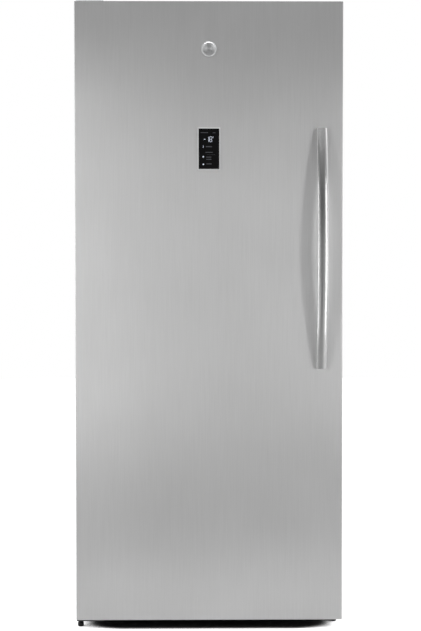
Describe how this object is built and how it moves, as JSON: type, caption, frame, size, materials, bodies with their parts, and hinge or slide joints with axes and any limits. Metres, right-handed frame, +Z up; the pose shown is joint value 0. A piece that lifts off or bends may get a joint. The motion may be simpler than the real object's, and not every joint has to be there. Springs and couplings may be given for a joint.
{
  "type": "upright freezer",
  "caption": "Single-door upright freezer with a brushed steel door hinged on the left, bowed bar handle, touch panel, shelves, drawers and door bins.",
  "frame": {"origin": "on the floor, under the middle of the freezer's outer box", "axes": "+X to the right seen from the front, +Y to the back, +Z up"},
  "size_m": [0.83, 0.75, 1.964],
  "materials": {
    "silver_paint": "satin",
    "galvanised_steel": "satin",
    "insulating_foam": "matte",
    "white_liner": "gloss",
    "white_trim": "satin",
    "aluminium": "satin",
    "heater_steel": "satin",
    "black_plastic": "satin",
    "grey_plastic": "satin",
    "lamp_lens": "gloss",
    "clear_glass": "gloss",
    "clear_tray": "gloss",
    "zinc_steel": "satin",
    "black_steel": "satin",
    "motor_iron": "satin",
    "black_rubber": "matte",
    "copper": "satin",
    "circuit_board": "satin",
    "stainless": "satin",
    "stainless_handle": "satin",
    "seal_vinyl": "satin",
    "silver_trim": "satin",
    "black_glass": "gloss",
    "satin_badge": "satin"
  },
  "bodies": {
    "cabinet": {"outer_shell": "silver_paint", "back_panel": "galvanised_steel", "base_pan": "galvanised_steel", "bay_liner": "galvanised_steel", "cabinet_foam": "insulating_foam", "inner_liner": "white_liner", "duct_panel": "white_liner", "evaporator_coil": "aluminium", "defrost_heater": "heater_steel", "drain_trough": "white_liner", "evap_fan_motor": "black_plastic", "ceiling_lamp": "lamp_lens", "shelf_glass": "clear_glass", "shelf_trims": "white_trim", "drawer_rails": "white_trim", "top_hinge_plate": "zinc_steel", "hinge_pins": "zinc_steel", "bracket_screws": "zinc_steel", "hinge_cover": "grey_plastic", "bottom_hinge_bracket": "black_steel", "right_foot_bracket": "black_steel", "kick_plate": "black_plastic", "compressor_shell": "black_steel", "compressor_motor": "motor_iron", "compressor_grommets": "black_rubber", "compressor_bolts": "zinc_steel", "relay_cover": "black_plastic", "condenser_coil": "black_steel", "condenser_fan_motor": "galvanised_steel", "filter_dryer": "copper", "refrigerant_tubes": "copper", "drip_tray": "black_plastic", "bay_cover": "galvanised_steel", "rear_screws": "zinc_steel", "cord_gland": "black_plastic", "main_board": "circuit_board", "board_cover": "black_plastic", "roller_brackets": "zinc_steel", "roller_axles": "zinc_steel"},
    "door": {"door_skin": "stainless", "door_cap_top": "black_plastic", "door_cap_bottom": "black_plastic", "door_foam": "insulating_foam", "door_liner": "white_liner", "door_gasket": "seal_vinyl", "handle_bar": "stainless_handle", "handle_studs": "zinc_steel", "panel_housing": "silver_trim", "panel_glass": "black_glass", "panel_board": "circuit_board", "badge_disc": "satin_badge", "door_bins": "clear_tray"},
    "drawer_lower": {"lower_drawer": "clear_tray"},
    "drawer_upper": {"upper_drawer": "clear_tray"},
    "evaporator_fan": {"evap_fan_blade": "white_trim"},
    "condenser_fan": {"condenser_fan_blade": "black_plastic"},
    "foot_l": {"foot_left": "black_plastic"},
    "foot_r": {"foot_right": "black_plastic"},
    "roller_l": {"roller_left": "grey_plastic"},
    "roller_r": {"roller_right": "grey_plastic"}
  },
  "joints": [
    {"name": "door_swing", "type": "hinge", "parent": "cabinet", "child": "door", "pos_m": [-0.405, -0.279, 0], "axis": [0, 0, -1], "range_deg": [0, 120]},
    {"name": "lower_drawer_slide", "type": "slide", "parent": "cabinet", "child": "drawer_lower", "axis": [0, -1, 0], "range_m": [0, 0.15]},
    {"name": "upper_drawer_slide", "type": "slide", "parent": "cabinet", "child": "drawer_upper", "axis": [0, -1, 0], "range_m": [0, 0.24]},
    {"name": "evaporator_fan_spin", "type": "hinge", "parent": "cabinet", "child": "evaporator_fan", "pos_m": [0, 0.2725, 0.77], "axis": [0, 1, 0], "continuous": true},
    {"name": "condenser_fan_spin", "type": "hinge", "parent": "cabinet", "child": "condenser_fan", "pos_m": [0.055, 0.271, 0.14], "axis": [1, 0, 0], "continuous": true},
    {"name": "left_foot_turn", "type": "hinge", "parent": "cabinet", "child": "foot_l", "pos_m": [-0.405, -0.279, 0.014], "axis": [0, 0, 1], "continuous": true},
    {"name": "right_foot_turn", "type": "hinge", "parent": "cabinet", "child": "foot_r", "pos_m": [0.398, -0.235, 0.014], "axis": [0, 0, 1], "continuous": true},
    {"name": "left_roller_spin", "type": "hinge", "parent": "cabinet", "child": "roller_l", "pos_m": [-0.37, 0.301, 0.0125], "axis": [1, 0, 0], "continuous": true},
    {"name": "right_roller_spin", "type": "hinge", "parent": "cabinet", "child": "roller_r", "pos_m": [0.37, 0.301, 0.0125], "axis": [1, 0, 0], "continuous": true}
  ],
  "couplings": [
    {"joint": "lower_drawer_slide", "follows": "door_swing", "m_per_rad": 0.07161},
    {"joint": "upper_drawer_slide", "follows": "door_swing", "m_per_rad": 0.11459}
  ]
}
